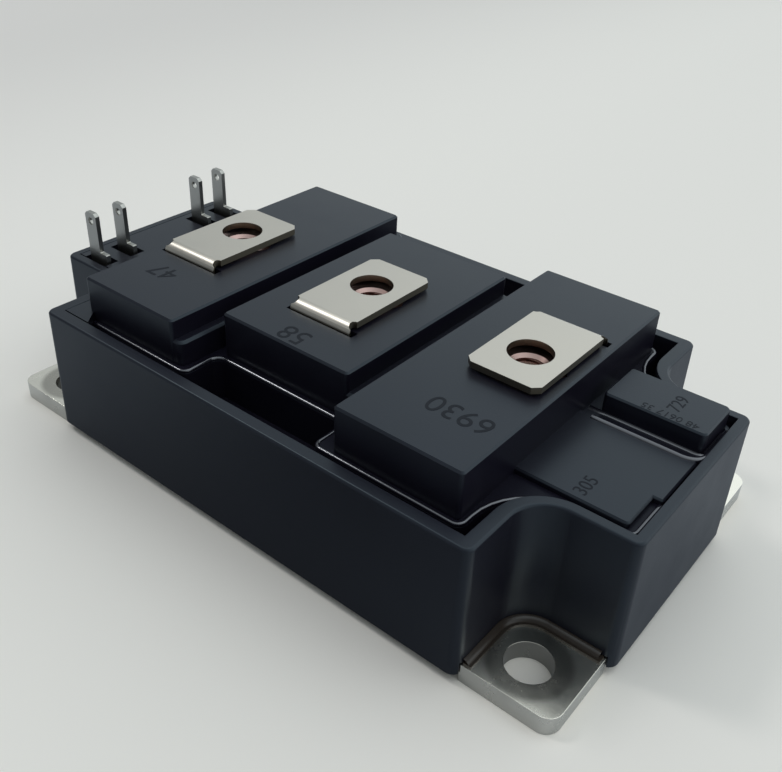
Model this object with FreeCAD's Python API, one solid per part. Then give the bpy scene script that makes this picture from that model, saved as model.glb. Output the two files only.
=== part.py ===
"""Half-bridge power module, 62 mm size: one STEP file for each physical piece.

Millimetres. X runs along the module, from the control tabs (-X) to the plain end (+X).
Z is up, and the origin is the middle of the base plate's underside.
"""
import FreeCAD, Part
import math
import os

# Base plate
plate_length = 107.0
plate_width = 59.8
plate_thickness = 3.0
plate_corner_radius = 2.2
mount_hole_diameter = 6.5
mount_hole_end_inset = 7.0
mount_hole_side_inset = 5.9
ear_length = 13.1
ear_width = 12.7

# Case frame: outer faces measured at its foot
case_end_overhang = 1.1
case_side_overhang = 1.1
case_top = 22.2
case_foot = 1.4
case_notch_radius = 5.0
case_corner_radius = 1.6
case_lean = 0.3
case_rim_bevel = 0.3
rim_side = 2.1
rim_end = 1.5
rim_flank = 1.6
ledge_height = 12.0
ledge_width = 1.2
skirt_overlap = 1.0
skirt_clearance = 0.15
ear_overlap = 0.3

# Adhesive under the case frame
adhesive_thickness = 0.25
adhesive_spread = 1.2
adhesive_edge = 0.3

# Lid: flange in the case, deck above the sunk trench
lid_clearance = 0.15
flange_thickness = 2.0
deck_height = 20.8
deck_top_thickness = 2.0
deck_edge_bevel = 0.4
lid_wall = 2.0
trench_side = 1.8
trench_end = 0.3
trench_flank = 0.5
deck_corner_radius = 1.5

# Raised blocks of the lid, one under each main terminal
block_top = 27.95
block_edge_bevel = 0.3
block_corner_radius = 0.6
block_overlap = 0.5
block_setback = 5.1
block_groove = 3.4
middle_block_extra = 3.9
middle_block_setback = 6.65
middle_ledge = 1.1
middle_ledge_side = 0.4
rib_height = 24.8
rib_width = 1.6
rib_setback = 0.1
rib_corner_radius = 1.2
rib_edge_bevel = 0.4

# End panels of the lid
panel_height = 21.7
panel_edge_bevel = 0.25
panel_gap = 1.0
panel_end_gap = 0.1
end_panel_back = 3.2
end_panel_notch_length = 6.6
end_panel_notch_width = 1.4
raised_panel_height = 24.4
raised_panel_front = 5.2
raised_panel_gap = 0.5
raised_panel_start = 1.9
end_groove_depth = 0.6

# Main terminals
terminal_setback = 7.3
strip_thickness = 1.0
terminal_width = 11.4
terminal_lift = 0.45
terminal_free_end = 7.5
terminal_bend = 11.7
terminal_hole_diameter = 6.6
terminal_chamfer = 1.0
terminal_bend_radius = 1.1
riser_width = 9.8
riser_clearance = 0.2
slot_margin = 1.4
foot_length = 4.8
terminal_relief = 1.4

# M6 nut under each terminal
nut_across_flats = 10.0
nut_height = 5.0
nut_recess = 0.55
nut_bore_diameter = 5.0
nut_chamfer = 0.5
nut_clearance = 0.1
bolt_well_diameter = 7.0
bolt_well_depth = 7.5
well_wall = 1.6

# Control tabs
tab_setback = 5.2
tab_side_setback = 3.2
tab_pitch = 5.5
tab_width = 2.8
tab_thickness = 0.8
tab_top = 30.55
tab_chamfer = 0.5
tab_hole_diameter = 1.3
tab_hole_drop = 1.5
tab_shoulder_width = 1.7
tab_shoulder_height = 23.6
tab_shank_bottom = 16.2
tab_tail_bottom = 13.0
tab_tail_width = 2.0
tab_clearance = 0.1
tab_pocket_margin = 0.5
tab_pocket_side = 1.1
tab_pocket_depth = 2.1

# Control leads
lead_width = 1.2
lead_thickness = 0.6
lead_bend_radius = 1.3
pad_length = 1.8
lead_drop = 2.0

# Substrates
substrate_end_margin = 3.6
substrate_side_margin = 7.5
substrate_gap = 3.8
solder_thickness = 0.2
copper_thickness = 0.3
ceramic_thickness = 0.6
copper_margin = 0.8
island_gap = 0.8
power_island_start = -5.3
pad_strip_width = 2.2

# Chips
chip_thickness = 0.25
chip_solder_thickness = 0.1
diode_width = 6.0
diode_length = 9.0
chip_margin = 1.0
chip_row_gap = 2.0
chip_column_gap = 1.0

# Bond wires
wire_diameter = 0.4
wire_rise = 1.6
wire_foot = 0.9
wire_pitch = 3.0
wire_setback = 0.6

# Sizes that follow from those above
mount_spacing_x = plate_length - 2.0 * mount_hole_end_inset
mount_spacing_y = plate_width - 2.0 * mount_hole_side_inset
case_length = plate_length + 2.0 * case_end_overhang
case_width = plate_width + 2.0 * case_side_overhang
case_body_length = plate_length - 2.0 * ear_length
case_end_width = plate_width - 2.0 * ear_width
side_block_outer = case_body_length / 2.0 - block_setback
side_block_width = (2.0 * side_block_outer - 2.0 * block_groove - middle_block_extra) / 3.0
side_block_inner = side_block_outer - side_block_width
side_block_length = case_width - 2.0 * block_setback
middle_block_width = side_block_width + middle_block_extra
middle_block_length = side_block_length - 2.0 * middle_block_setback
terminal_x = side_block_outer - terminal_setback
terminal_top = block_top + terminal_lift + strip_thickness
bend_foot = terminal_top - terminal_bend_radius - strip_thickness / 2.0
nut_top = block_top - nut_recess
tab_x = case_length / 2.0 - tab_setback
tab_outer_y = case_end_width / 2.0 - tab_side_setback
tab_inner_y = tab_outer_y - tab_pitch
substrate_reach = case_body_length / 2.0 - substrate_end_margin
substrate_width = 2.0 * (substrate_reach - substrate_gap) / 3.0
substrate_length = case_width - 2.0 * substrate_side_margin
substrate_pitch = substrate_width + substrate_gap
island_left = copper_margin + pad_strip_width + island_gap - substrate_width / 2.0
island_right = substrate_width / 2.0 - copper_margin
island_end = substrate_length / 2.0 - copper_margin
transistor_width = island_right - island_left - diode_width - chip_column_gap - 2.0 * chip_margin
transistor_length = (island_end - power_island_start - 2.0 * chip_margin - chip_row_gap) / 2.0
adhesive_top = plate_thickness + adhesive_thickness
flange_top = ledge_height + flange_thickness
lead_height = ledge_height - lead_drop
deck_underside = deck_height - deck_top_thickness
nut_seat = nut_top - nut_height
ceramic_bottom = plate_thickness + solder_thickness + copper_thickness
ceramic_top = ceramic_bottom + ceramic_thickness
copper_top = ceramic_top + copper_thickness
chip_top = copper_top + chip_solder_thickness + chip_thickness
tab_pocket_floor = case_top - tab_pocket_depth


def vec(x, y, z=0.0):
    return FreeCAD.Vector(x, y, z)


def rounded_wire(corners, z=0.0):
    """Closed wire in the plane z through (x, y, radius) corners."""
    count = len(corners)
    spans = []
    for index in range(count):
        x, y, radius = corners[index]
        here = vec(x, y, z)
        before = vec(corners[index - 1][0], corners[index - 1][1], z)
        after = vec(corners[(index + 1) % count][0], corners[(index + 1) % count][1], z)
        back = (before - here).normalize()
        ahead = (after - here).normalize()
        if radius <= 0.0:
            spans.append((here, None, here))
            continue
        half_angle = back.getAngle(ahead) / 2.0
        reach = radius / math.tan(half_angle)
        middle = (back + ahead).normalize()
        centre = here + middle * (radius / math.sin(half_angle))
        spans.append((here + back * reach, centre - middle * radius, here + ahead * reach))
    edges = []
    for index in range(count):
        start, crown, end = spans[index]
        if crown is not None:
            edges.append(Part.Arc(start, crown, end).toShape())
        following = spans[(index + 1) % count][0]
        if end.distanceToPoint(following) > 1e-6:
            edges.append(Part.makeLine(end, following))
    return Part.Wire(edges)


def prism(corners, low, high):
    """Solid with a rounded outline, from z = low to z = high."""
    face = Part.Face(rounded_wire(corners, low))
    return face.extrude(vec(0, 0, high - low))


def block(x0, x1, y0, y1, z0, z1):
    return Part.makeBox(x1 - x0, y1 - y0, z1 - z0, vec(x0, y0, z0))


def rectangle(x0, x1, y0, y1, radius=0.0):
    return [(x0, y0, radius), (x1, y0, radius), (x1, y1, radius), (x0, y1, radius)]


def cylinder(x, y, z0, z1, diameter):
    return Part.makeCylinder(diameter / 2.0, z1 - z0, vec(x, y, z0))


def edges_at(solid, height):
    """Every edge that lies in the plane z = height."""
    edges = []
    for edge in solid.Edges:
        box = edge.BoundBox
        if abs(box.ZMin - height) < 1e-5 and abs(box.ZMax - height) < 1e-5:
            edges.append(edge)
    return edges


def bevelled_prism(corners, low, high, bevel):
    solid = prism(corners, low, high)
    return solid.makeChamfer(bevel, edges_at(solid, high))


def sharp(corners):
    """The same outline with its corners left unrounded, for walls that nobody sees."""
    return [(x, y, 0.0) for x, y, radius in corners]


def fused(solids):
    return solids[0].multiFuse(solids[1:]).removeSplitter()


def mirrored_y(corners):
    """The same outline on the other side of the X axis, still anticlockwise."""
    return [(x, -y, radius) for x, y, radius in reversed(corners)]


def notched_outline(half_body, half_width, half_length, half_end, notch_radius, corner_radius,
                    front=(), back=()):
    """Rectangle with its four corners cut away, and optional corners along its long sides."""
    return [
        (half_body, -half_width, corner_radius),
        (half_body, -half_end, notch_radius),
        (half_length, -half_end, corner_radius),
        (half_length, half_end, corner_radius),
        (half_body, half_end, notch_radius),
        (half_body, half_width, corner_radius),
        *back,
        (-half_body, half_width, corner_radius),
        (-half_body, half_end, notch_radius),
        (-half_length, half_end, corner_radius),
        (-half_length, -half_end, corner_radius),
        (-half_body, -half_end, notch_radius),
        (-half_body, -half_width, corner_radius),
        *front,
    ]


def case_outline(inset, inset_end=None, inset_flank=None):
    """Case frame's outline at its foot, moved inwards."""
    if inset_end is None:
        inset_end = inset
    if inset_flank is None:
        inset_flank = inset
    return notched_outline(
        case_body_length / 2.0 - inset,
        case_width / 2.0 - inset,
        case_length / 2.0 - inset_end,
        case_end_width / 2.0 - inset_flank,
        case_notch_radius + inset,
        max(case_corner_radius - inset, 0.0),
    )


def rim_outline(inset=0.0):
    """Inside of the case's rim, in which the lid sits, moved inwards."""
    return case_outline(
        case_lean + rim_side + inset,
        case_lean + rim_end + inset,
        case_lean + rim_flank + inset,
    )


def deck_outline(inset=0.0):
    """Lid's deck: inside the rim by the trench, and stepped back beside the middle block."""
    side = case_lean + rim_side + trench_side
    end = case_lean + rim_end + trench_end
    flank = case_lean + rim_flank + trench_flank
    half_width = case_width / 2.0 - side - inset
    step_x = middle_block_width / 2.0 + middle_ledge_side + inset
    step_y = middle_block_length / 2.0 + middle_ledge - inset
    front = [
        (-step_x, -half_width, deck_corner_radius),
        (-step_x, -step_y, deck_corner_radius),
        (step_x, -step_y, deck_corner_radius),
        (step_x, -half_width, deck_corner_radius),
    ]
    return notched_outline(
        case_body_length / 2.0 - side - inset,
        half_width,
        case_length / 2.0 - end - inset,
        case_end_width / 2.0 - flank - inset,
        case_notch_radius + side + inset,
        max(deck_corner_radius - inset, 0.4),
        front=front,
        back=mirrored_y(front),
    )


def plate_outline(grow=0.0):
    """Base plate: full size at its four ears, stepped back under the case's skirt."""
    x_ear = plate_length / 2.0 + grow
    y_ear = plate_width / 2.0 + grow
    x_waist = plate_length / 2.0 - skirt_overlap + grow
    y_waist = plate_width / 2.0 - skirt_overlap + grow
    x_step = case_body_length / 2.0 - ear_overlap - grow
    y_step = case_end_width / 2.0 - ear_overlap - grow
    ear = [
        (x_step, -y_waist, 0.0),
        (x_step, -y_ear, 0.0),
        (x_ear, -y_ear, plate_corner_radius),
        (x_ear, -y_step, 0.0),
        (x_waist, -y_step, 0.0),
    ]
    right = ear + mirrored_y(ear)
    left = [(-x, -y, radius) for x, y, radius in right]
    return right + left


def mount_points():
    for sign_x in (-1, 1):
        for sign_y in (-1, 1):
            yield sign_x * mount_spacing_x / 2.0, sign_y * mount_spacing_y / 2.0


def make_base_plate():
    plate = prism(plate_outline(), 0.0, plate_thickness)
    for x, y in mount_points():
        plate = plate.cut(cylinder(x, y, -1.0, plate_thickness + 1.0, mount_hole_diameter))
    return plate


def make_case_frame():
    """Drafted ring with an inner ledge for the lid and a skirt over the plate's edge."""
    foot = rounded_wire(case_outline(0.0), case_foot)
    shoulder = rounded_wire(case_outline(case_lean), case_top - case_rim_bevel)
    top = rounded_wire(case_outline(case_lean + case_rim_bevel), case_top)
    frame = Part.makeLoft([foot, shoulder, top], True, True)
    frame = frame.cut(prism(rim_outline(), ledge_height, case_top + 1.0))
    frame = frame.cut(prism(rim_outline(ledge_width), -1.0, ledge_height))
    return frame.cut(prism(plate_outline(skirt_clearance), -1.0, adhesive_top))


def make_case_adhesive():
    """Bead under the case frame, squeezed out over the ears and inwards."""
    bead = prism(case_outline(-adhesive_spread), plate_thickness, adhesive_top)
    plate = prism(plate_outline(-adhesive_edge), plate_thickness, adhesive_top)
    bead = bead.common(plate)
    inner_edge = sharp(rim_outline(ledge_width + adhesive_edge))
    inside = prism(inner_edge, plate_thickness - 1.0, adhesive_top + 1.0)
    return bead.cut(inside)


def block_footprints():
    """x0, x1 and half length of the three raised blocks, from -X to +X."""
    return [
        (-side_block_outer, -side_block_inner, side_block_length / 2.0),
        (-middle_block_width / 2.0, middle_block_width / 2.0, middle_block_length / 2.0),
        (side_block_inner, side_block_outer, side_block_length / 2.0),
    ]


def terminal_places():
    """Hole centre x, and the side (-1 front, +1 back) on which each terminal bends down."""
    return [(-terminal_x, -1), (0.0, -1), (terminal_x, 1)]


def make_raised_blocks():
    blocks = []
    for x0, x1, half in block_footprints():
        corners = rectangle(x0, x1, -half, half, block_corner_radius)
        blocks.append(bevelled_prism(corners, deck_underside, block_top, block_edge_bevel))
    return blocks


def make_ribs():
    """Low rib along the +X wall of the left and of the middle block."""
    ribs = []
    for x0, x1, half in block_footprints()[:2]:
        end = half - rib_setback
        ribs.append(bevelled_prism([
            (x1 - block_overlap, -end, 0.0),
            (x1 + rib_width, -end, rib_corner_radius),
            (x1 + rib_width, end, rib_corner_radius),
            (x1 - block_overlap, end, 0.0),
        ], deck_underside, rib_height, rib_edge_bevel))
    return ribs


def make_end_panels():
    """Flat panel and, behind a groove, a higher one at +X; flush panel with the tabs at -X."""
    deck_end = case_length / 2.0 - case_lean - rim_end - trench_end
    half_end = case_end_width / 2.0 - case_lean - rim_flank - trench_flank
    front = -half_end + panel_gap
    inner = side_block_outer - block_overlap
    near_end = deck_end - end_panel_notch_width
    notch = front + end_panel_notch_length
    flat = bevelled_prism([
        (inner, front, 0.0),
        (near_end, front, 0.6),
        (near_end, notch, 0.0),
        (deck_end - panel_end_gap, notch, 0.3),
        (deck_end - panel_end_gap, end_panel_back, 0.6),
        (inner, end_panel_back, 0.0),
    ], deck_underside, panel_height, panel_edge_bevel)
    raised = bevelled_prism([
        (side_block_outer + raised_panel_start, raised_panel_front, 0.6),
        (deck_end - raised_panel_gap, raised_panel_front, 0.8),
        (deck_end - raised_panel_gap, half_end - panel_gap, 0.8),
        (side_block_outer + raised_panel_start, half_end - panel_gap, 0.6),
    ], deck_underside, raised_panel_height, panel_edge_bevel)
    base = prism([
        (inner, end_panel_back - block_overlap, 0.0),
        (deck_end - panel_end_gap, end_panel_back - block_overlap, 0.0),
        (deck_end - panel_end_gap, half_end - panel_gap / 2.0, 0.8),
        (inner, half_end - panel_gap / 2.0, 0.0),
    ], deck_underside, panel_height - end_groove_depth)
    return [flat, raised, base, make_flush_panel()]


def make_flush_panel():
    """Panel level with the rim at -X, which closes the trench as far as the left block's corners."""
    reach = case_length / 2.0 + 1.0
    inner = -side_block_outer + block_overlap
    corner = -side_block_outer + block_setback
    mask = prism([
        (-reach, -case_width / 2.0, 0.0),
        (corner, -case_width / 2.0, 0.0),
        (inner, -side_block_length / 2.0 + block_overlap, 0.0),
        (inner, side_block_length / 2.0 - block_overlap, 0.0),
        (corner, case_width / 2.0, 0.0),
        (-reach, case_width / 2.0, 0.0),
    ], deck_underside, case_top)
    return prism(rim_outline(lid_clearance), deck_underside, case_top).common(mask)


def hexagon(across_flats):
    """Corners of a hexagon whose flats face +Y and -Y."""
    radius = across_flats / math.sqrt(3.0)
    return [(radius * math.cos(math.radians(60 * i)), radius * math.sin(math.radians(60 * i)), 0.0)
            for i in range(6)]


def moved(solid, x, y, z=0.0):
    copy = solid.copy()
    copy.translate(vec(x, y, z))
    return copy


def tab_places():
    return [-tab_outer_y, -tab_inner_y, tab_inner_y, tab_outer_y]


def lead_y(y):
    """Each lead lies against the side of its tab that faces the middle of the module."""
    return y - math.copysign((tab_thickness + lead_width) / 2.0, y)


def lid_hollows():
    """Space under the deck and inside each block, around the square posts that hold the nuts."""
    hollows = [prism(sharp(deck_outline(lid_wall)), ledge_height - 1.0, deck_underside)]
    post = nut_across_flats / math.sqrt(3.0) + well_wall
    for (x0, x1, half), (x, side) in zip(block_footprints(), terminal_places()):
        corners = rectangle(x0 + lid_wall, x1 - lid_wall, -half + lid_wall, half - lid_wall)
        space = prism(corners, deck_underside - 0.5, block_top - deck_top_thickness)
        hollows.append(space.cut(block(x - post, x + post, -post, post, deck_underside - 1.0, block_top)))
    return hollows


def bolt_well_body(x):
    """Closed cup below the nut that keeps the bolt's end away from the chips."""
    bottom = nut_seat - bolt_well_depth - well_wall
    half = bolt_well_diameter / 2.0 + well_wall
    return block(x - half, x + half, -half, half, bottom, deck_underside + 0.5)


def make_lid():
    """Moulded cover with blocks, ribs, trench, panels, nut pockets and slots."""
    deck = bevelled_prism(deck_outline(), ledge_height, deck_height, deck_edge_bevel)
    flange = prism(rim_outline(lid_clearance), ledge_height, flange_top)
    lid = fused([flange, deck] + make_raised_blocks() + make_ribs() + make_end_panels())
    for hollow in lid_hollows():
        lid = lid.cut(hollow)
    lid = fused([lid] + [bolt_well_body(x) for x, side in terminal_places()])
    slot_width = riser_width + 2.0 * slot_margin
    for x, side in terminal_places():
        pocket = prism(hexagon(nut_across_flats + 2.0 * nut_clearance), nut_seat, block_top + 1.0)
        lid = lid.cut(moved(pocket, x, 0.0))
        lid = lid.cut(cylinder(x, 0.0, nut_seat - bolt_well_depth, nut_seat, bolt_well_diameter))
        near = side * (terminal_bend - strip_thickness) - side * riser_clearance
        far = side * terminal_bend + side * riser_clearance
        slot = block(x - slot_width / 2.0, x + slot_width / 2.0, min(near, far), max(near, far),
                     ledge_height - 1.0, block_top + 1.0)
        lid = lid.cut(slot)
    for y in tab_places():
        lid = lid.cut(tab_pocket(y))
    return lid


def tab_pocket(y):
    """Open pocket in the left panel, with the slot for the tab in its floor."""
    left = -tab_x - tab_width / 2.0
    right = -tab_x + tab_width / 2.0 + tab_shoulder_width
    half = tab_thickness / 2.0
    pocket = block(left - tab_pocket_margin, right + tab_pocket_margin,
                   y - half - tab_pocket_side, y + half + tab_pocket_side,
                   tab_pocket_floor, case_top + 1.0)
    slot = block(left - tab_clearance, right + tab_clearance,
                 y - half - tab_clearance, y + half + tab_clearance,
                 tab_shank_bottom - tab_clearance, tab_pocket_floor + 0.5)
    tail = tab_tail_width / 2.0 + tab_clearance
    inner = lead_y(y) - math.copysign(lead_width / 2.0 + tab_clearance, y)
    outer = y + math.copysign(half + tab_clearance, y)
    passage = block(-tab_x - tail, -tab_x + tail, min(inner, outer), max(inner, outer),
                    ledge_height - 1.0, tab_shank_bottom)
    return fused([pocket, slot, passage])


def strip_profile(path, thickness):
    """Corners of a bent strip's side view, from (u, v, bend radius) points of its middle line."""
    sides = ([], [])
    for index, (u, v, radius) in enumerate(path):
        before = path[max(index - 1, 0)]
        after = path[min(index + 1, len(path) - 1)]
        arriving = vec(u - before[0], v - before[1])
        leaving = vec(after[0] - u, after[1] - v)
        if index == 0:
            arriving = leaving
        if index == len(path) - 1:
            leaving = arriving
        arriving.normalize()
        leaving.normalize()
        normal = vec(-arriving.y - leaving.y, arriving.x + leaving.x).normalize()
        turn = arriving.x * leaving.y - arriving.y * leaving.x
        reach = thickness / 2.0 / max(normal.dot(vec(-arriving.y, arriving.x)), 0.2)
        for side, sign in ((0, 1.0), (1, -1.0)):
            bend = 0.0
            if radius > 0.0:
                bend = max(radius - math.copysign(thickness / 2.0, turn) * sign, 0.05)
            sides[side].append((u + sign * reach * normal.x, v + sign * reach * normal.y, bend))
    return sides[0] + sides[1][::-1]


def prism_along_x(corners, low, high):
    """Prism of a profile given in (y, z), from x = low to x = high."""
    flat = Part.Face(rounded_wire(corners)).extrude(vec(0, 0, high - low))
    turn = FreeCAD.Matrix(0, 0, 1, low, 1, 0, 0, 0, 0, 1, 0, 0, 0, 0, 0, 1)
    flat.Placement = FreeCAD.Placement(turn)
    return flat


def prism_along_y(corners, low, high):
    """Prism of a profile given in (x, z), from y = low to y = high."""
    flat = Part.Face(rounded_wire(corners)).extrude(vec(0, 0, high - low))
    flat.rotate(vec(0, 0, 0), vec(1, 0, 0), 90)
    return moved(flat, 0.0, high)


def make_terminal(x, side):
    """Bent strip: flat top with its hole, narrower riser through the lid, foot on the copper."""
    middle = terminal_top - strip_thickness / 2.0
    foot = copper_top + strip_thickness / 2.0
    riser = terminal_bend - strip_thickness / 2.0
    path = [
        (terminal_free_end, middle, 0.0),
        (-riser, middle, terminal_bend_radius),
        (-riser, foot, terminal_bend_radius),
        (-riser - foot_length, foot, 0.0),
    ]
    half = terminal_width / 2.0
    terminal = prism_along_x(strip_profile(path, strip_thickness), -half, half)
    for sign in (-1, 1):
        edge = sign * riser_width / 2.0
        low, high = sorted((edge, sign * (half + 1.0)))
        terminal = terminal.cut(block(low, high, -terminal_bend - foot_length - 1.0, 0.0, 0.0, bend_foot))
        relief = cylinder(sign * half, strip_thickness - terminal_bend, bend_foot - 1.0, terminal_top + 1.0,
                          terminal_relief)
        terminal = terminal.cut(relief)
        terminal = terminal.cut(prism([
            (sign * (half - terminal_chamfer), terminal_free_end, 0.0),
            (sign * half, terminal_free_end - terminal_chamfer, 0.0),
            (sign * (half + 1.0), terminal_free_end + 1.0, 0.0),
        ], 0.0, terminal_top + 1.0))
    terminal = terminal.cut(cylinder(0.0, 0.0, nut_top, terminal_top + 1.0, terminal_hole_diameter))
    if side > 0:
        terminal.rotate(vec(0, 0, 0), vec(0, 0, 1), 180)
    return moved(terminal, x, 0.0)


def make_nut(x):
    """Hexagon nut with a countersunk bore."""
    bore_radius = nut_bore_diameter / 2.0
    nut = prism(hexagon(nut_across_flats), 0.0, nut_height)
    nut = nut.cut(cylinder(0.0, 0.0, -1.0, nut_height + 1.0, nut_bore_diameter))
    foot = vec(0, 0, nut_height - nut_chamfer)
    mouth = Part.makeCone(bore_radius, bore_radius + nut_chamfer, nut_chamfer, foot)
    return moved(nut.cut(mouth), x, 0.0, nut_seat)


def make_control_tab(y):
    """Flat tab with a cut-off top, a hole, one shoulder and a narrow tail."""
    half = tab_width / 2.0
    wide = half + tab_shoulder_width
    tail = tab_tail_width / 2.0
    corners = [
        (-tail, tab_tail_bottom, 0.0),
        (tail, tab_tail_bottom, 0.0),
        (tail, tab_shank_bottom, 0.0),
        (wide, tab_shank_bottom, 0.0),
        (wide, tab_shoulder_height, 0.2),
        (half, tab_shoulder_height, 0.2),
        (half, tab_top - tab_chamfer, 0.0),
        (half - tab_chamfer, tab_top, 0.0),
        (-half + tab_chamfer, tab_top, 0.0),
        (-half, tab_top - tab_chamfer, 0.0),
        (-half, tab_shank_bottom, 0.0),
        (-tail, tab_shank_bottom, 0.0),
    ]
    plate = prism_along_y(corners, -tab_thickness / 2.0, tab_thickness / 2.0)
    hole = Part.makeCylinder(tab_hole_diameter / 2.0, 2.0 * tab_thickness,
                             vec(0, -tab_thickness, tab_top - tab_hole_drop), vec(0, 1, 0))
    return moved(plate.cut(hole), -tab_x, y)


def pad_places():
    """Local y of the two small signal pads of a substrate, at its -X edge."""
    return [lead_y(-tab_outer_y), lead_y(-tab_inner_y)]


def pad_x():
    """Local x of the middle of the signal pads."""
    return -substrate_width / 2.0 + copper_margin + pad_strip_width / 2.0


def substrate_centres():
    """Centre x of each substrate, and the side on which its terminal's foot lies."""
    return [(-substrate_pitch, -1), (0.0, -1), (substrate_pitch, 1)]


def make_control_lead(y, centre_x):
    """Bent strip from the side of the tab's tail down to a signal pad."""
    path = [
        (-tab_x, tab_shank_bottom - tab_clearance, 0.0),
        (-tab_x, lead_height, lead_bend_radius),
        (centre_x + pad_x(), lead_height, lead_bend_radius),
        (centre_x + pad_x(), copper_top, 0.0),
    ]
    near = lead_y(y) - lead_width / 2.0
    return prism_along_y(strip_profile(path, lead_thickness), near, near + lead_width)


def place_cell(solid, centre_x, side):
    """Puts a piece made for the front-fed substrate on the substrate at centre_x."""
    if side > 0:
        solid = solid.mirror(vec(0, 0, 0), vec(0, 1, 0))
    return moved(solid, centre_x, 0.0)


def make_ceramic(centre_x):
    half_w = substrate_width / 2.0
    half_l = substrate_length / 2.0
    return block(centre_x - half_w, centre_x + half_w, -half_l, half_l, ceramic_bottom, ceramic_top)


def make_bottom_copper(centre_x):
    half_w = substrate_width / 2.0 - copper_margin
    half_l = substrate_length / 2.0 - copper_margin
    low = plate_thickness + solder_thickness
    return block(centre_x - half_w, centre_x + half_w, -half_l, half_l, low, ceramic_bottom)


def make_substrate_solder():
    half_w = substrate_width / 2.0 - copper_margin
    half_l = substrate_length / 2.0 - copper_margin
    top = plate_thickness + solder_thickness
    return Part.makeCompound([
        block(x - half_w, x + half_w, -half_l, half_l, plate_thickness, top)
        for x, side in substrate_centres()])


def make_top_copper(centre_x, side):
    """Etched islands: power island with the chips, emitter island, two signal pads."""
    power = block(island_left, island_right, power_island_start, island_end, ceramic_top, copper_top)
    emitter = block(island_left, island_right, -island_end, power_island_start - island_gap,
                    ceramic_top, copper_top)
    islands = [power, emitter]
    for y in pad_places():
        islands.append(block(-island_right, -island_right + pad_strip_width,
                             y - pad_length / 2.0, y + pad_length / 2.0, ceramic_top, copper_top))
    return place_cell(Part.makeCompound(islands), centre_x, side)


def chip_places():
    """Local centre and size of each chip: two transistors, each with a diode beside it."""
    transistor_x = island_left + chip_margin + transistor_width / 2.0
    diode_x = island_right - chip_margin - diode_width / 2.0
    places = []
    for row in range(2):
        y = power_island_start + chip_margin + transistor_length / 2.0
        y += row * (transistor_length + chip_row_gap)
        places.append(("transistor", transistor_x, y, transistor_width, transistor_length))
        places.append(("diode", diode_x, y, diode_width, diode_length))
    return places


def make_chip(place, centre_x, side):
    kind, x, y, width, length = place
    chip = block(x - width / 2.0, x + width / 2.0, y - length / 2.0, y + length / 2.0,
                 chip_top - chip_thickness, chip_top)
    return place_cell(chip, centre_x, side)


def make_chip_solder():
    layers = []
    for centre_x, side in substrate_centres():
        for kind, x, y, width, length in chip_places():
            layer = block(x - width / 2.0, x + width / 2.0, y - length / 2.0, y + length / 2.0,
                          copper_top, copper_top + chip_solder_thickness)
            layers.append(place_cell(layer, centre_x, side))
    return Part.makeCompound(layers)


def make_bond_wire(start, end):
    """Square wire that lies flat on both pads and stands up between them."""
    x0, y0, z0 = start
    x1, y1, z1 = end
    lift = wire_diameter / 2.0
    along = vec(x1 - x0, y1 - y0)
    length = along.Length
    along.normalize()
    crest = max(z0, z1) + lift + wire_rise
    profile = [
        (0.0, z0 + lift),
        (wire_foot, z0 + lift),
        (wire_foot + 0.25 * (length - 2.0 * wire_foot), crest),
        (wire_foot + 0.75 * (length - 2.0 * wire_foot), crest),
        (length - wire_foot, z1 + lift),
        (length, z1 + lift),
    ]
    points = [vec(x0 + along.x * u, y0 + along.y * u, v) for u, v in profile]
    spine = Part.makePolygon(points)
    across = vec(-along.y, along.x)
    ring = []
    for side, rise in ((1, 1), (-1, 1), (-1, -1), (1, -1), (1, 1)):
        ring.append(points[0] + across * (side * lift) + vec(0, 0, rise * lift))
    section = Part.makePolygon(ring)
    return spine.makePipeShell([section], True, False, 1)


def make_bond_wires(centre_x, side):
    """Emitter island to transistor, transistor to transistor, and each transistor to its diode."""
    first, first_diode, second, second_diode = chip_places()
    wires = []
    for offset in (-wire_pitch / 2.0, wire_pitch / 2.0):
        x = first[1] + offset
        island_y = power_island_start - island_gap - wire_setback
        wires.append(make_bond_wire((x, island_y, copper_top), (x, first[2] - wire_foot, chip_top)))
        start = (x, first[2] + wire_foot, chip_top)
        wires.append(make_bond_wire(start, (x, second[2] - wire_foot, chip_top)))
    for transistor, diode in ((first, first_diode), (second, second_diode)):
        start = (transistor[1] + wire_pitch, transistor[2] + wire_pitch, chip_top)
        end = (diode[1] + wire_foot, transistor[2] + wire_pitch, chip_top)
        wires.append(make_bond_wire(start, end))
    return place_cell(Part.makeCompound(wires), centre_x, side)


def make_pieces():
    """Every node's shape by its name."""
    pieces = {
        "base_plate": make_base_plate(),
        "case_frame": make_case_frame(),
        "case_adhesive": make_case_adhesive(),
        "lid": make_lid(),
        "substrate_solder": make_substrate_solder(),
        "chip_solder": make_chip_solder(),
    }
    for number, (x, side) in enumerate(terminal_places(), start=1):
        pieces["main_terminal_%d" % number] = make_terminal(x, side)
        pieces["terminal_nut_%d" % number] = make_nut(x)
    lead_targets = [-substrate_pitch, -substrate_pitch, substrate_pitch, substrate_pitch]
    for number, (y, centre_x) in enumerate(zip(tab_places(), lead_targets), start=1):
        pieces["control_tab_%d" % number] = make_control_tab(y)
        pieces["control_lead_%d" % number] = make_control_lead(y, centre_x)
    chip_count = 0
    for number, (x, side) in enumerate(substrate_centres(), start=1):
        pieces["ceramic_%d" % number] = make_ceramic(x)
        pieces["bottom_copper_%d" % number] = make_bottom_copper(x)
        pieces["top_copper_%d" % number] = make_top_copper(x, side)
        pieces["bond_wires_%d" % number] = make_bond_wires(x, side)
        for index, place in enumerate(chip_places()):
            row = chip_count + index // 2 + 1
            pieces["%s_chip_%d" % (place[0], row)] = make_chip(place, x, side)
        chip_count += 2
    return pieces


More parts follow.
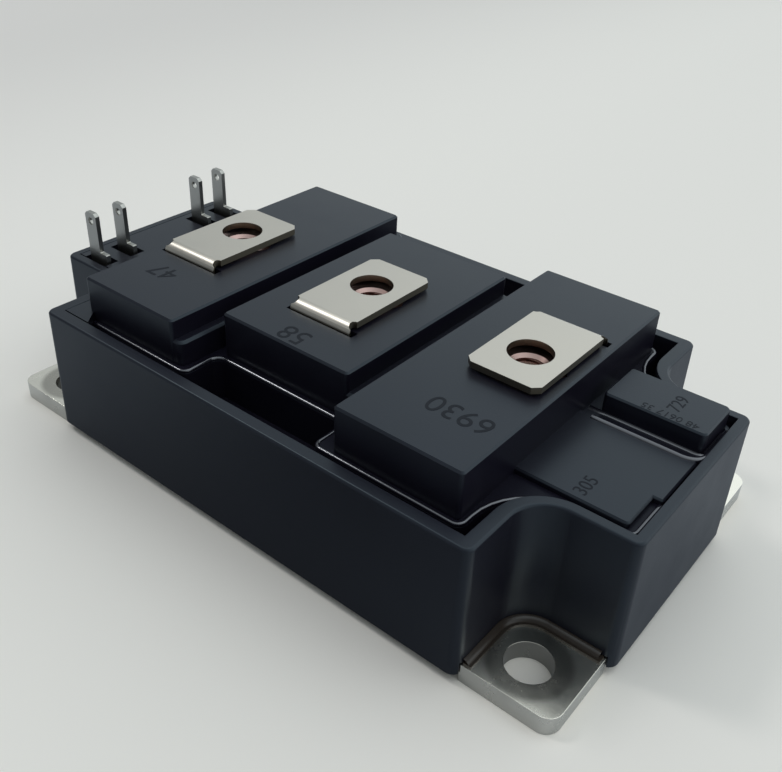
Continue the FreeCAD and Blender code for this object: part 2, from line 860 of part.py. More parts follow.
os.makedirs("parts", exist_ok=True)
for node, shape in make_pieces().items():
    shape.exportStep("parts/%s.step" % node)
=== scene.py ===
# %% [markdown]
# Dressing a power module
#
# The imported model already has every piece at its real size. This file gives the pieces their
# finish, rounds the edges that a mould or a press leaves round, adds what is too fine for the
# solids, and sets up the table, the light and the camera.

# %% Load the frame
import math

import bmesh
import bpy
import numpy as np
from mathutils import Matrix, Vector


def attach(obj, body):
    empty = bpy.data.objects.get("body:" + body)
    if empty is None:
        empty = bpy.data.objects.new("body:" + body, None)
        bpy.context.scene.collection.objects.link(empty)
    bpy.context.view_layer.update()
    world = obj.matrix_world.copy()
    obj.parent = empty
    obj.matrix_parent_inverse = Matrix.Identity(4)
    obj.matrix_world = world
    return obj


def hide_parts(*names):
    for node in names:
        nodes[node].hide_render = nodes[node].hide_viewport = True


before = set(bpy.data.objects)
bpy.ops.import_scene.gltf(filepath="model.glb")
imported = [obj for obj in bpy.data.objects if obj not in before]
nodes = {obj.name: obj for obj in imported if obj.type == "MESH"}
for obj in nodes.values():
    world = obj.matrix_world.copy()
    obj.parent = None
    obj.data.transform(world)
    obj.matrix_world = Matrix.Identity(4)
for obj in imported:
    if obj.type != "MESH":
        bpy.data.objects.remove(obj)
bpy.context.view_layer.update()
MM = 0.001
print("nodes in the frame:", len(nodes))

# %% [markdown]
# Colours are picked from real samples as sRGB hex values, as a paint chart gives them, but a
# shader works in linear light. One function does the change, so that no colour is turned twice.


# %% Colour helper
def linear(hex_colour):
    """sRGB hex to linear RGBA: each channel goes through the sRGB curve backwards."""
    channels = np.array([int(hex_colour[i:i + 2], 16) for i in (1, 3, 5)]) / 255.0
    low = channels / 12.92
    high = ((channels + 0.055) / 1.055) ** 2.4
    return (*np.where(channels <= 0.04045, low, high), 1.0)


print("a mid grey in linear light:", round(linear("#808080")[0], 3))

# %% [markdown]
# A node tree is easier to read when adding a node, setting it and wiring it is one line. Sockets
# are given by name or by number, and a value that is an output socket becomes a link. The three
# helpers after it are the nodes that nearly every finish needs: a change of range, a mix of two
# colours, and soft clouds of a stated size on the part itself.

# %% Node helpers
CLOUD_RANGE = (0.3, 0.7)


def add(tree, kind, inputs=None, **settings):
    """Adds a node of that kind, applies its settings, and fills or links its inputs."""
    node = tree.nodes.new(kind)
    for name, value in settings.items():
        setattr(node, name, value)
    for name, value in (inputs or {}).items():
        socket = node.inputs[name]
        if isinstance(value, bpy.types.NodeSocket):
            tree.links.new(value, socket)
        else:
            socket.default_value = value
    return node


def ramp(tree, value, source, target=(0.0, 1.0), smooth=False):
    """A value taken from one range to another, in a straight line or eased at both ends."""
    return add(tree, "ShaderNodeMapRange", {
        "Value": value, "From Min": source[0], "From Max": source[1],
        "To Min": target[0], "To Max": target[1],
    }, interpolation_type="SMOOTHSTEP" if smooth else "LINEAR").outputs["Result"]


def blend(tree, factor, first, second):
    """The colour that lies that far between two colours."""
    return add(tree, "ShaderNodeMix", {0: factor, 6: first, 7: second}, data_type="RGBA").outputs[2]


def clouds(tree, place, size_mm, detail, roughness=0.5):
    """Soft noise with spots of about that size, most of it inside CLOUD_RANGE."""
    return add(tree, "ShaderNodeTexNoise", {
        "Vector": place, "Scale": 1.0 / (size_mm * MM), "Detail": detail,
        "Roughness": roughness}).outputs["Fac"]


def new_material(name):
    """An empty node material, with its output, as (material, tree, output)."""
    material = bpy.data.materials.new(name)
    material.use_nodes = True
    tree = material.node_tree
    tree.nodes.clear()
    return material, tree, tree.nodes.new("ShaderNodeOutputMaterial")


print("clouds lie mostly between", CLOUD_RANGE)

# %% [markdown]
# Camera
#
# The photograph was taken from above the corner between the near long side and the plain end.
# The camera's place and turn come from solving the picture for the module's known sizes: screw
# holes 93 x 48 mm apart and terminals 28 mm apart.

# %% Camera
CAMERA_PLACE = (77.454, -95.507, 93.764)
CAMERA_YAW = 127.61
CAMERA_PITCH = 33.74
CAMERA_ROLL = 2.75
FOCAL_PIXELS = 917.1
PICTURE_WIDTH = 782
PICTURE_HEIGHT = 772
PICTURE_CENTRE = (387.5, 383.9)
SENSOR_WIDTH = 36.0
NEAREST_SEEN = 0.005
FARTHEST_SEEN = 20.0


def camera_axes(yaw, pitch, roll):
    """Right, up and backward unit vectors of a camera that looks along yaw, pitched down."""
    yaw, pitch, roll = np.radians([yaw, pitch, roll])
    level = np.array([math.cos(yaw), math.sin(yaw), 0.0])
    forward = math.cos(pitch) * level - (0.0, 0.0, math.sin(pitch))
    right = np.cross(forward, (0.0, 0.0, 1.0))
    right /= np.linalg.norm(right)
    up = np.cross(right, forward)
    turned_right = math.cos(roll) * right + math.sin(roll) * up
    turned_up = -math.sin(roll) * right + math.cos(roll) * up
    return turned_right, turned_up, -forward


camera_data = bpy.data.cameras.new("photo_camera")
camera = bpy.data.objects.new("photo_camera", camera_data)
bpy.context.scene.collection.objects.link(camera)
pose = np.eye(4)
pose[:3, :3] = np.column_stack(camera_axes(CAMERA_YAW, CAMERA_PITCH, CAMERA_ROLL))
pose[:3, 3] = np.array(CAMERA_PLACE) * MM
camera.matrix_world = pose.T
camera_data.sensor_width = SENSOR_WIDTH
camera_data.lens = FOCAL_PIXELS * SENSOR_WIDTH / PICTURE_WIDTH
camera_data.shift_x = (PICTURE_WIDTH / 2.0 - PICTURE_CENTRE[0]) / PICTURE_WIDTH
camera_data.shift_y = (PICTURE_CENTRE[1] - PICTURE_HEIGHT / 2.0) / PICTURE_WIDTH
camera_data.clip_start = NEAREST_SEEN
camera_data.clip_end = FARTHEST_SEEN
bpy.context.scene.camera = camera
print("lens in mm:", round(camera_data.lens, 2))

# %% [markdown]
# Moulded housing
#
# The case and the lid are injection moulded from glass-filled PBT, a polyester that is nearly
# black all through. Its look comes almost only from its skin, which mirrors the room weakly and
# softly. A fine grain from the spark-eroded mould spreads the reflection, and slow clouds in the
# roughness stand for flow and handling. The cool tint sits in the reflection, where it was seen.
#
# The lid's low floors and its faces towards the plain end look nearly black in the photo, where little
# light reaches them, so there its skin mirrors less: this is painted shade. Which way a face looks is
# read from an attribute that the rounded copies carry, and how low it lies from its place. The fine
# lips have a smoother, neutral skin.

# %% Moulded plastic
FACING = "facing"
HOUSING_COLOUR = "#17151f"
FLOW_MM = 18.0
FLOW_SHADE = (0.9, 1.15)
FLOW_GLOSS = (-0.04, 0.05)
MOULD_GRAIN_MM = 0.25
MOULD_GRAIN_DEPTH = 0.03
MOULD_GRAIN_STRENGTH = 0.2
USUAL_MIRROR = 0.5
END_ON = (0.7, 0.95)
LOW_FLOOR = (21.05 * MM, 20.85 * MM)


def facing_parts(tree):
    """The X, Y and Z parts of the direction in which a rounded copy's face looks."""
    facing = add(tree, "ShaderNodeAttribute", attribute_name=FACING)
    return add(tree, "ShaderNodeSeparateXYZ", {"Vector": facing.outputs["Vector"]}).outputs


def moulded_plastic(name, gloss, painted_shade_mirror=USUAL_MIRROR, refraction=1.5, sheen="#dcf4ff"):
    """Glass-filled PBT: near-black body, weak reflection, cloudy gloss, fine mould grain.

    The painted shade mirror is how strongly the faces towards the plain end and the low floors reflect;
    a low value paints shade there.
    """
    material, tree, output = new_material(name)
    place = add(tree, "ShaderNodeTexCoord").outputs["Object"]
    flow = clouds(tree, place, FLOW_MM, detail=4.0, roughness=0.6)
    grain = clouds(tree, place, MOULD_GRAIN_MM, detail=2.0)
    tint = add(tree, "ShaderNodeVectorMath", {
        0: linear(HOUSING_COLOUR)[:3], 3: ramp(tree, flow, CLOUD_RANGE, FLOW_SHADE)}, operation="SCALE")
    bump = add(tree, "ShaderNodeBump", {
        "Height": grain, "Strength": MOULD_GRAIN_STRENGTH, "Distance": MOULD_GRAIN_DEPTH * MM})
    height = add(tree, "ShaderNodeSeparateXYZ", {"Vector": place}).outputs["Z"]
    # Painted shade: the faces towards the plain end and the low floors reflect less.
    mirror = add(tree, "ShaderNodeMath", {
        0: ramp(tree, facing_parts(tree)["X"], END_ON, (USUAL_MIRROR, painted_shade_mirror)),
        1: ramp(tree, height, LOW_FLOOR, (USUAL_MIRROR, painted_shade_mirror))}, operation="MINIMUM")
    rough = ramp(tree, flow, CLOUD_RANGE, (gloss + FLOW_GLOSS[0], gloss + FLOW_GLOSS[1]))
    shader = add(tree, "ShaderNodeBsdfPrincipled", {
        "Base Color": tint.outputs["Vector"], "Roughness": rough, "IOR": refraction,
        "Specular Tint": linear(sheen), "Specular IOR Level": mirror.outputs["Value"],
        "Normal": bump.outputs["Normal"]})
    tree.links.new(shader.outputs["BSDF"], output.inputs["Surface"])
    return material


case_plastic = moulded_plastic("moulded_pbt_case", 0.36)
# The lid gets painted shade on its low floors and end-facing faces, through a weaker reflection.
lid_plastic = moulded_plastic("moulded_pbt_lid", 0.33, painted_shade_mirror=0.12)
lip_plastic = moulded_plastic("polished_mould_edge", 0.16, refraction=2.2, sheen="#eff0f5")
print("plastics:", case_plastic.name, lid_plastic.name, lip_plastic.name)

# %% [markdown]
# Plated metal
#
# Every metal part that shows is plated: the base plate with bright nickel, the terminals with satin
# nickel, the tabs with tin, the nuts with zinc. Plating copies the sheet beneath it, so the roughness
# wanders in soft clouds and a faint rolling grain bends the reflection. Two things come from the photo,
# and both are painted light. The base plate is paler at its rim than round its screw holes: this is a
# painted highlight where its rolled edge mirrors the sky, and a painted reflection of the dark case
# over the seats. The upright sides of the terminals are darker and browner than their tops: this is
# painted shade.

# %% Plated metal
PLATING_CLOUDS_MM = 4.0
ROLLING_GRAIN_MM = 1.5
ROLLING_GRAIN_DEPTH = 0.05
SEAT_CENTRE = (46.5, 24.0, 3.0)
SEAT_EDGE = (5.0 * MM, 6.2 * MM)
UPRIGHT = (0.3, 0.1)


def plated_metal(name, colour, rough, uneven=0.05, relief=0.03, painted_highlight_rim_colour=None, upright_shade_colour=None):
    """Plated sheet: metallic, with clouds in its roughness and a faint rolling grain.

    With a painted highlight rim colour, the plating turns to it outside the seats of the four screws,
    as a painted highlight. An upright shade colour is for upright faces, which it darkens as painted
    shade.
    """
    material, tree, output = new_material(name)
    place = add(tree, "ShaderNodeTexCoord").outputs["Object"]
    sheen = clouds(tree, place, PLATING_CLOUDS_MM, detail=5.0, roughness=0.65)
    grain = clouds(tree, place, ROLLING_GRAIN_MM, detail=2.0)
    bump = add(tree, "ShaderNodeBump", {
        "Height": grain, "Strength": relief, "Distance": ROLLING_GRAIN_DEPTH * MM})
    plating = linear(colour)
    # Painted highlight: paler plating on the rim, outside the four screw seats.
    if painted_highlight_rim_colour:
        quarter = add(tree, "ShaderNodeVectorMath", {0: place}, operation="ABSOLUTE")
        away = add(tree, "ShaderNodeVectorMath", {
            0: quarter.outputs["Vector"], 1: Vector(SEAT_CENTRE) * MM}, operation="DISTANCE")
        highlight_share = ramp(tree, away.outputs["Value"], SEAT_EDGE, smooth=True)
        plating = blend(tree, highlight_share, plating, linear(painted_highlight_rim_colour))
    # Painted shade: upright faces get a darker, browner plating than the tops.
    if upright_shade_colour:
        upward = add(tree, "ShaderNodeMath", {0: facing_parts(tree)["Z"]}, operation="ABSOLUTE")
        upright_share = ramp(tree, upward.outputs["Value"], UPRIGHT)
        plating = blend(tree, upright_share, plating, linear(upright_shade_colour))
    shader = add(tree, "ShaderNodeBsdfPrincipled", {
        "Base Color": plating, "Metallic": 1.0, "Normal": bump.outputs["Normal"],
        "Roughness": ramp(tree, sheen, CLOUD_RANGE, (rough - uneven, rough + uneven))})
    tree.links.new(shader.outputs["BSDF"], output.inputs["Surface"])
    return material


# The bright nickel's paler rim is a painted highlight.
bright_nickel = plated_metal(
    "bright_nickel_plate", "#c0bbb1", 0.25, uneven=0.06, relief=0.1, painted_highlight_rim_colour="#fff9ec")
# The satin nickel's darker upright faces are painted shade.
satin_nickel = plated_metal("satin_nickel_strip", "#d4cdc2", 0.36, upright_shade_colour="#8c8272")
tinned = plated_metal("tinned_copper", "#b4b2ac", 0.32)
nut_steel = plated_metal("zinc_plated_steel", "#c3a49c", 0.3)
copper = plated_metal("bare_copper", "#c07a55", 0.35)
aluminium_wire = plated_metal("aluminium_wire", "#d0d0d2", 0.25)
solder_metal = plated_metal("solder", "#a3a5a8", 0.35)
print("metals:", bright_nickel.name, satin_nickel.name, tinned.name, nut_steel.name)

# %% [markdown]
# Plain materials
#
# The ceramic, the chips, the adhesive and the marks have one colour each, and a gloss that
# wanders a little so that they don't look like paint.

# %% Plain finishes
GLOSS_CLOUDS_MM = 3.0
GLOSS_SPREAD = 0.05


def plain_finish(name, colour, rough, mirror=USUAL_MIRROR):
    """One colour with a little unevenness in its gloss, and how strongly its skin mirrors."""
    material, tree, output = new_material(name)
    place = add(tree, "ShaderNodeTexCoord").outputs["Object"]
    gloss = clouds(tree, place, GLOSS_CLOUDS_MM, detail=3.0)
    shader = add(tree, "ShaderNodeBsdfPrincipled", {
        "Base Color": linear(colour), "Specular IOR Level": mirror,
        "Roughness": ramp(tree, gloss, (0.0, 1.0), (rough - GLOSS_SPREAD, rough + GLOSS_SPREAD))})
    tree.links.new(shader.outputs["BSDF"], output.inputs["Surface"])
    return material


alumina = plain_finish("fired_alumina", "#e9e8e1", 0.6)
silicon = plain_finish("polished_silicon", "#3a3d47", 0.15)
adhesive = plain_finish("silicone_adhesive", "#352d27", 0.25)
mark_ink = plain_finish("engraved_mark", "#161a22", 0.6, mirror=0.2)
print("plain finishes:", alumina.name, silicon.name, adhesive.name, mark_ink.name)

# %% [markdown]
# The name of a node, without its number, says what it is made of, so one table serves them all.

# %% Give each node its finish
FINISHES = {
    "base_plate": bright_nickel, "case_frame": case_plastic, "lid": lid_plastic,
    "case_adhesive": adhesive, "main_terminal": satin_nickel, "terminal_nut": nut_steel,
    "control_tab": tinned, "control_lead": tinned, "substrate_solder": solder_metal,
    "chip_solder": solder_metal, "ceramic": alumina, "bottom_copper": copper,
    "top_copper": copper, "bond_wires": aluminium_wire, "transistor_chip": silicon,
    "diode_chip": silicon,
}
for name, node in nodes.items():
    node.data.materials.clear()
    node.data.materials.append(FINISHES[name.rstrip("0123456789_")])
print("finished nodes:", len(nodes))

# %% [markdown]
# Rounded edges
#
# A moulded or pressed part has no knife edge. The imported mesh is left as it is, and a copy takes
# its place: its doubled corners are merged and its flat faces joined, so that a bevel can follow
# the real edges. Normals weighted by face area then keep the flats flat and put the whole turn
# of the light into the bevel. Each flat face writes down which way it looks before it is rounded,
# and the finishes above read that.

# %% Rounded copies
SAME_POINT = 0.001
FLAT_WITHIN = 0.5
SHARP_ABOVE = 28.0
FLAT_WEIGHT = 100
# Each row: node, width of the round in millimetres, steps across it.
EDGES = [
    ("case_frame", 0.3, 3), ("lid", 0.12, 3), ("base_plate", 0.8, 5),
    *[("main_terminal_%d" % number, 0.12, 3) for number in (1, 2, 3)],
    *[("control_tab_%d" % number, 0.08, 2) for number in (1, 2, 3, 4)],
]


def add_piece(name, mesh):
    """A new object with that mesh, riding on the root."""
    piece = bpy.data.objects.new(name, mesh)
    bpy.context.scene.collection.objects.link(piece)
    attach(piece, "root")
    print(name, "faces:", len(mesh.polygons))
    return piece


def rounded_copy(name, width_mm, segments):
    """Replaces a node by its merged mesh, with flat faces joined and every sharp edge rounded."""
    mesh = bpy.data.meshes.new(name + "_rounded")
    work = bmesh.new()
    work.from_mesh(nodes[name].data)
    bmesh.ops.remove_doubles(work, verts=work.verts, dist=SAME_POINT * MM)
    bmesh.ops.dissolve_limit(
        work, angle_limit=math.radians(FLAT_WITHIN), verts=work.verts, edges=work.edges)
    work.to_mesh(mesh)
    work.free()
    for layer in ("custom_normal", "sharp_edge", "sharp_face"):
        if layer in mesh.attributes:
            mesh.attributes.remove(mesh.attributes[layer])
    mesh.shade_smooth()
    normals = np.empty(len(mesh.polygons) * 3, dtype=np.float32)
    mesh.polygons.foreach_get("normal", normals)
    mesh.attributes.new(FACING, "FLOAT_VECTOR", "FACE").data.foreach_set("vector", normals)
    mesh.materials.append(nodes[name].data.materials[0])
    piece = add_piece(name + "_rounded", mesh)
    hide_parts(name)
    bevel = piece.modifiers.new("edge", "BEVEL")
    bevel.width = width_mm * MM
    bevel.segments = segments
    bevel.limit_method = "ANGLE"
    bevel.angle_limit = math.radians(SHARP_ABOVE)
    bevel.use_clamp_overlap = True
    flats = piece.modifiers.new("flats", "WEIGHTED_NORMAL")
    flats.weight = FLAT_WEIGHT


for edge in EDGES:
    rounded_copy(*edge)

# %% [markdown]
# Sweeping a small section along an outline
#
# The lips that catch the light are too small for the solids. Each is one section, given as
# (outward, upward) points, carried along a rounded outline: point (i, j) of the surface is
# outline[i] + normal[i] * outward[j] + up * upward[j]. Working on the whole grid at once keeps
# the code short and exact.


# %% Sweep helpers
def rounded_path(corners, arc_points=10):
    """Points along (x, y, radius) corners, with each round corner as an even run of points."""
    points = []
    corners = np.array(corners, dtype=float)
    for before, (x, y, radius), after in zip(np.roll(corners, 1, 0), corners, np.roll(corners, -1, 0)):
        corner = np.array((x, y))
        if radius <= 0.0:
            points.append(corner[None, :])
            continue
        back = (before[:2] - corner) / np.linalg.norm(before[:2] - corner)
        ahead = (after[:2] - corner) / np.linalg.norm(after[:2] - corner)
        half = np.arccos(np.clip(back @ ahead, -1.0, 1.0)) / 2.0
        centre = corner + (back + ahead) / np.linalg.norm(back + ahead) * radius / math.sin(half)
        start = corner + back * radius / math.tan(half) - centre
        end = corner + ahead * radius / math.tan(half) - centre
        angle = math.pi - 2.0 * half
        share = np.linspace(0.0, 1.0, arc_points)[:, None]
        arc = (np.sin((1 - share) * angle) * start + np.sin(share * angle) * end) / math.sin(angle)
        points.append(centre + arc)
    return np.concatenate(points)


def grid_faces(rows, columns, closed_rows=False):
    """Quads of a grid of rows x columns vertices, wrapped round where its rows are closed."""
    row = np.arange(rows if closed_rows else rows - 1)[:, None]
    column = np.arange(columns - 1)[None, :]
    next_row = (row + 1) % rows
    quads = np.stack(np.broadcast_arrays(
        row * columns + column, row * columns + column + 1,
        next_row * columns + column + 1, next_row * columns + column), axis=-1)
    return quads.reshape(-1, 4)


def surface_piece(name, points_mm, faces, material):
    """A smooth piece made of points in millimetres and quads."""
    mesh = bpy.data.meshes.new(name)
    mesh.from_pydata((points_mm.reshape(-1, 3) * MM).tolist(), [], faces.tolist())
    mesh.shade_smooth()
    mesh.materials.append(material)
    add_piece(name, mesh)


def swept(name, path, section, height, material):
    """Section (outward, upward) carried along an open path in the plane z = height.

    point(i, j) = path[i] + normal[i] * section[j, 0] + (0, 0, height + section[j, 1]), with the
    normal to the right of the path's direction.
    """
    along = np.gradient(path, axis=0)
    along /= np.linalg.norm(along, axis=1)[:, None]
    normal = np.stack([along[:, 1], -along[:, 0]], axis=1)
    flat = path[:, None, :] + normal[:, None, :] * section[None, :, :1]
    up = np.broadcast_to(height + section[None, :, 1:], flat.shape[:2] + (1,))
    points = np.concatenate([flat, up], axis=2)
    surface_piece(name, points, grid_faces(len(path), len(section)), material)


def round_section(radius, start, end, count, centre=(0.0, 0.0)):
    """Arc of a circle from one angle to another, in degrees from outward towards up."""
    angle = np.radians(np.linspace(start, end, count))
    return np.stack([centre[0] + radius * np.cos(angle), centre[1] + radius * np.sin(angle)], axis=1)


print("points in a quarter turn:", len(rounded_path([(0, 0, 0), (9, 0, 2), (9, 9, 0)])) - 2)

# %% [markdown]
# Lip of the lid
#
# Where the lid's deck meets its trench, the mould has a small polished lip that draws a bright
# line. It follows the deck's own outline from the left block round the plain end and back, so
# its driving sizes are those of the solids. The far side mirrors the near one.

# %% Lip of the lid's deck
DECK_HEIGHT = 20.8
DECK_HALF_WIDTH = 26.8
DECK_END = 52.5
DECK_BODY = 36.2
DECK_FLANK = 14.8
DECK_CORNER = 1.5
DECK_NOTCH = 9.2
STEP_X = 12.33
STEP_Y = 20.35
BLOCK_LEFT = -35.3
LIP_RADIUS = 0.35
LIP_SINK = 0.15

near_side = [
    (BLOCK_LEFT, -DECK_HALF_WIDTH, 0.0),
    (-STEP_X, -DECK_HALF_WIDTH, DECK_CORNER), (-STEP_X, -STEP_Y, DECK_CORNER),
    (STEP_X, -STEP_Y, DECK_CORNER), (STEP_X, -DECK_HALF_WIDTH, DECK_CORNER),
    (DECK_BODY, -DECK_HALF_WIDTH, DECK_CORNER), (DECK_BODY, -DECK_FLANK, DECK_NOTCH),
    (DECK_END, -DECK_FLANK, DECK_CORNER),
]
far_side = [(x, -y, radius) for x, y, radius in reversed(near_side)]
lid_lip_section = round_section(
    LIP_RADIUS, start=-60.0, end=200.0, count=14, centre=(-LIP_RADIUS, 0.0))
swept("lid_lip", rounded_path(near_side + far_side), lid_lip_section, DECK_HEIGHT - LIP_SINK,
      lip_plastic)

# %% [markdown]
# Round edges on the end panels
#
# The groove between the two end panels has a round lip on its near side, which turns along the
# plain end, and a small fillet at the foot of the raised panel.

# %% Edges of the end panels
PANEL_HEIGHT = 21.7
PANEL_LIP_START = 37.2
PANEL_LIP_END = 52.4
PANEL_LIP_FAR = 12.0
PANEL_LIP_TURN = 2.2
PANEL_LIP_RADIUS = 0.55
PANEL_LIP_INSET = 0.5
PANEL_LIP_SINK = 0.25
GROOVE_FLOOR = 21.1
GROOVE_NEAR = 3.2
GROOVE_FAR = 5.2
GROOVE_START = 35.6
RAISED_END = 52.0
RAISED_CORNER = 1.0
FILLET_FAR = 13.0
FILLET_RADIUS = 0.45

panel_lip_path = rounded_path([
    (PANEL_LIP_END, PANEL_LIP_FAR, 0.0), (PANEL_LIP_END, GROOVE_NEAR, PANEL_LIP_TURN),
    (PANEL_LIP_START, GROOVE_NEAR, 0.0)])
panel_lip_section = round_section(
    PANEL_LIP_RADIUS, start=-30.0, end=180.0, count=12, centre=(-PANEL_LIP_INSET, 0.0))
swept("panel_lip", panel_lip_path, panel_lip_section, PANEL_HEIGHT - PANEL_LIP_SINK, lip_plastic)
fillet_path = rounded_path([
    (GROOVE_START, GROOVE_FAR, 0.0), (RAISED_END, GROOVE_FAR, RAISED_CORNER),
    (RAISED_END, FILLET_FAR, 0.0)])
fillet_section = round_section(
    FILLET_RADIUS, start=180.0, end=270.0, count=8, centre=(FILLET_RADIUS, FILLET_RADIUS))
swept("panel_fillet", fillet_path, fillet_section, GROOVE_FLOOR, lip_plastic)

# %% [markdown]
# Adhesive round the notches
#
# The bead that holds the case to the plate is squeezed out in each screw notch and sets as a
# smooth round fillet. It is a quarter round carried along the notch. One path serves all four:
# it is mirrored for each corner, and turned round where that keeps its open side on the right.

# %% Adhesive bead in the notches
PLATE_TOP = 3.0
CASE_BODY = 40.4
CASE_FLANK = 17.2
NOTCH_RADIUS = 5.0
BEAD_START = 29.6
BEAD_END = 52.8
BEAD_RADIUS = 0.9
CORNERS = [(1, -1), (1, 1), (-1, 1), (-1, -1)]

bead_path = rounded_path([
    (CASE_BODY, -BEAD_START, 0.0), (CASE_BODY, -CASE_FLANK, NOTCH_RADIUS),
    (BEAD_END, -CASE_FLANK, 0.0)], arc_points=24)
bead_section = round_section(BEAD_RADIUS, start=0.0, end=90.0, count=8)
for index, (sign_x, sign_y) in enumerate(CORNERS, start=1):
    notch = bead_path * (sign_x, -sign_y)
    if sign_x * sign_y > 0:
        notch = notch[::-1]
    swept("adhesive_bead_%d" % index, notch, bead_section, PLATE_TOP, adhesive)

# %% [markdown]
# Threads
#
# A nut's thread shows as fine rings in its bore. It is a height field on the bore's wall: the
# radius shrinks along a triangle wave of height and turn, which makes one true helix.

# %% Threads in the nuts
TERMINAL_PITCH = 28.0
THREAD_PITCH = 1.0
THREAD_DEPTH = 0.28
THREAD_FOOT = 22.5
THREAD_TOP = 26.9
BORE_RADIUS = 2.48
TURN_POINTS = 48
RISE_POINTS = 60

turn = np.linspace(0.0, 2.0 * math.pi, TURN_POINTS, endpoint=False)[:, None]
rise = np.linspace(THREAD_FOOT, THREAD_TOP, RISE_POINTS)[None, :]
phase = (rise / THREAD_PITCH - turn / (2.0 * math.pi)) % 1.0
wall = BORE_RADIUS - THREAD_DEPTH * (1.0 - np.abs(2.0 * phase - 1.0))
thread_faces = grid_faces(TURN_POINTS, RISE_POINTS, closed_rows=True)
for number in (1, 2, 3):
    centre = (number - 2) * TERMINAL_PITCH
    thread = np.stack([centre + wall * np.cos(turn), wall * np.sin(turn),
                       np.broadcast_to(rise, wall.shape)], axis=2)
    surface_piece("nut_thread_%d" % number, thread, thread_faces, nut_steel)

# %% [markdown]
# Marks
#
# The real part carries moulded signs beside its terminals. Here plain numbers stand in their
# place, as thin dark figures that lie on the plastic.

# %% Plain numbers on the lid
BLOCK_TOP = 27.95
RAISED_TOP = 24.4
BLOCK_FIGURES = 4.9
PANEL_FIGURES = 2.7
LINE_FIGURES = 1.8
FIGURE_THICKNESS = 0.02
# Each row: piece, figures, size, place, turn in degrees, height; lengths in millimetres.
MARKS = [
    ("mark_block_1", "47", BLOCK_FIGURES, (-27.9, -16.6), 180.0, BLOCK_TOP),
    ("mark_block_2", "58", BLOCK_FIGURES, (0.0, -16.6), 180.0, BLOCK_TOP),
    ("mark_block_3", "6930", BLOCK_FIGURES, (28.3, -16.6), 180.0, BLOCK_TOP),
    ("mark_flat_panel", "305", PANEL_FIGURES, (43.9, -10.9), 90.0, PANEL_HEIGHT),
    ("mark_raised_panel", "729", PANEL_FIGURES, (46.2, 9.6), 90.0, RAISED_TOP),
    ("mark_raised_line", "48 0617 35", LINE_FIGURES, (46.4, 6.3), 180.0, RAISED_TOP),
]


def number_mark(name, text, size_mm, place, turn_degrees, height_mm):
    """Figures turned into a mesh, laid flat at a place and turned about the upright."""
    curve = bpy.data.curves.new(name, "FONT")
    curve.body = text
    curve.size = size_mm * MM
    curve.align_x = "CENTER"
    curve.align_y = "CENTER"
    curve.extrude = FIGURE_THICKNESS * MM
    writer = bpy.data.objects.new(name + "_curve", curve)
    bpy.context.scene.collection.objects.link(writer)
    mesh = bpy.data.meshes.new_from_object(writer.evaluated_get(bpy.context.evaluated_depsgraph_get()))
    bpy.data.objects.remove(writer)
    mesh.transform(Matrix.Translation((place[0] * MM, place[1] * MM, height_mm * MM))
                   @ Matrix.Rotation(math.radians(turn_degrees), 4, "Z"))
    mesh.materials.clear()
    mesh.materials.append(mark_ink)
    add_piece(name, mesh)


for mark in MARKS:
    number_mark(*mark)

# %% [markdown]
# Table
#
# The picture was taken on a pale table. One surface shows three faces, told apart by the kind of
# ray that meets it. The camera sees the table's own colour, a little greyer far beyond the tabs'
# end. The object's reflections see it dark in front of the near long side, where the camera and
# its holder keep the light away, and paler with the distance. All other light sees a plain grey.

# %% Table
FLOOR_HALF = 3.0
TABLE_ROUGHNESS = 0.9
DARK_SPOT = (0.005, -0.065, 0.0)
DARK_REACH = 0.075
GREYER_BEYOND = (-0.06, -0.28)
OWN_COLOUR = "#f2ece5"
GREYER_COLOUR = "#dcd6d1"
DARK_MIRRORED = "#323338"
PALE_MIRRORED = "#b7b9bd"
PLAIN_BOUNCE = "#b4b4b2"

floor_mesh = bpy.data.meshes.new("floor")
floor_mesh.from_pydata(
    [(-FLOOR_HALF, -FLOOR_HALF, 0.0), (FLOOR_HALF, -FLOOR_HALF, 0.0),
     (FLOOR_HALF, FLOOR_HALF, 0.0), (-FLOOR_HALF, FLOOR_HALF, 0.0)],
    [], [(0, 1, 2, 3)])
floor = bpy.data.objects.new("floor", floor_mesh)
bpy.context.scene.collection.objects.link(floor)
table_material, table, table_output = new_material("pale_table")
ray = add(table, "ShaderNodeLightPath").outputs
table_place = add(table, "ShaderNodeTexCoord").outputs["Object"]
away = add(table, "ShaderNodeVectorMath", {0: table_place, 1: DARK_SPOT}, operation="DISTANCE")
pale_share = ramp(table, away.outputs["Value"], (0.0, DARK_REACH))
mirrored = blend(table, pale_share, linear(DARK_MIRRORED), linear(PALE_MIRRORED))
bounced = blend(table, ray["Is Glossy Ray"], linear(PLAIN_BOUNCE), mirrored)
across = add(table, "ShaderNodeSeparateXYZ", {"Vector": table_place}).outputs["X"]
grey_share = ramp(table, across, GREYER_BEYOND, smooth=True)
own = blend(table, grey_share, linear(OWN_COLOUR), linear(GREYER_COLOUR))
seen = blend(table, ray["Is Camera Ray"], bounced, own)
table_skin = add(table, "ShaderNodeBsdfPrincipled", {"Base Color": seen, "Roughness": TABLE_ROUGHNESS})
table.links.new(table_skin.outputs["BSDF"], table_output.inputs["Surface"])
floor_mesh.materials.append(table_material)
print("table reaches, in metres each way:", FLOOR_HALF)

# %% [markdown]
# Light of the room
#
# Soft daylight fills the room. It comes mostly from the right and from behind the module, the
# camera's side is dim, and a second pale patch lies overhead. Each is a function of the direction
# alone, so the reflections on the plastic and the metal fade softly from one to the other.

# %% Room
BRIGHT_SIDE = 60.0
AROUND_FROM = (-0.3, 0.8)
AROUND_LIGHT = (0.25, 1.2)
OVERHEAD_FROM = (0.6, 0.95)
OVERHEAD_LIGHT = (0.0, 0.7)
DAYLIGHT = "#e6f0f4"


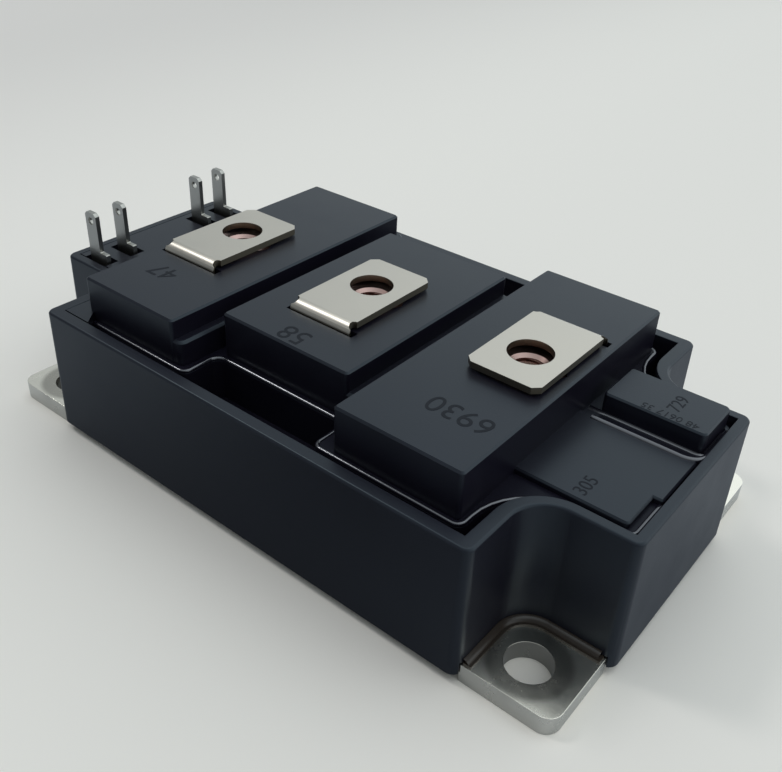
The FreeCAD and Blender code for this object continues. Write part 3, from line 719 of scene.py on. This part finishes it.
def towards(azimuth, elevation):
    """Unit vector of a direction in the room."""
    azimuth, elevation = math.radians(azimuth), math.radians(elevation)
    return (math.cos(azimuth) * math.cos(elevation), math.sin(azimuth) * math.cos(elevation),
            math.sin(elevation))


world = bpy.data.worlds.new("daylight_room")
bpy.context.scene.world = world
world.use_nodes = True
room = world.node_tree
room.nodes.clear()
heading = add(room, "ShaderNodeTexCoord").outputs["Generated"]
sideways = add(room, "ShaderNodeVectorMath", {0: heading, 1: towards(BRIGHT_SIDE, 0.0)},
               operation="DOT_PRODUCT").outputs["Value"]
upwards = add(room, "ShaderNodeSeparateXYZ", {"Vector": heading}).outputs["Z"]
brightness = add(room, "ShaderNodeMath", {
    0: ramp(room, sideways, AROUND_FROM, AROUND_LIGHT),
    1: ramp(room, upwards, OVERHEAD_FROM, OVERHEAD_LIGHT, smooth=True)}, operation="ADD")
sky = add(room, "ShaderNodeBackground", {
    "Color": linear(DAYLIGHT), "Strength": brightness.outputs["Value"]})
room_output = room.nodes.new("ShaderNodeOutputWorld")
room.links.new(sky.outputs["Background"], room_output.inputs["Surface"])
print("nodes in the room's light:", len(room.nodes))

# %% [markdown]
# One weak lamp, high beyond the tabs' end, stands for the ceiling light. It is a disc with a
# size, not a point, so that the shadows that it throws are soft.

# %% Ceiling lamp
LAMP_SIZE = 0.3
LAMP_WATTS = 3.0
LAMP_DISTANCE = 1.5
LAMP_AZIMUTH = -165.0
LAMP_ELEVATION = 52.0

lamp_data = bpy.data.lights.new("ceiling_lamp", "AREA")
lamp_data.shape = "DISK"
lamp_data.size = LAMP_SIZE
lamp_data.energy = LAMP_WATTS
lamp = bpy.data.objects.new("ceiling_lamp", lamp_data)
bpy.context.scene.collection.objects.link(lamp)
lamp_way = Vector(towards(LAMP_AZIMUTH, LAMP_ELEVATION))
lamp.location = lamp_way * LAMP_DISTANCE
lamp.rotation_euler = lamp_way.to_track_quat("Z", "Y").to_euler()
print("lamp in watts:", lamp_data.energy)

# %% Finish
bpy.context.scene.view_settings.view_transform = "Standard"
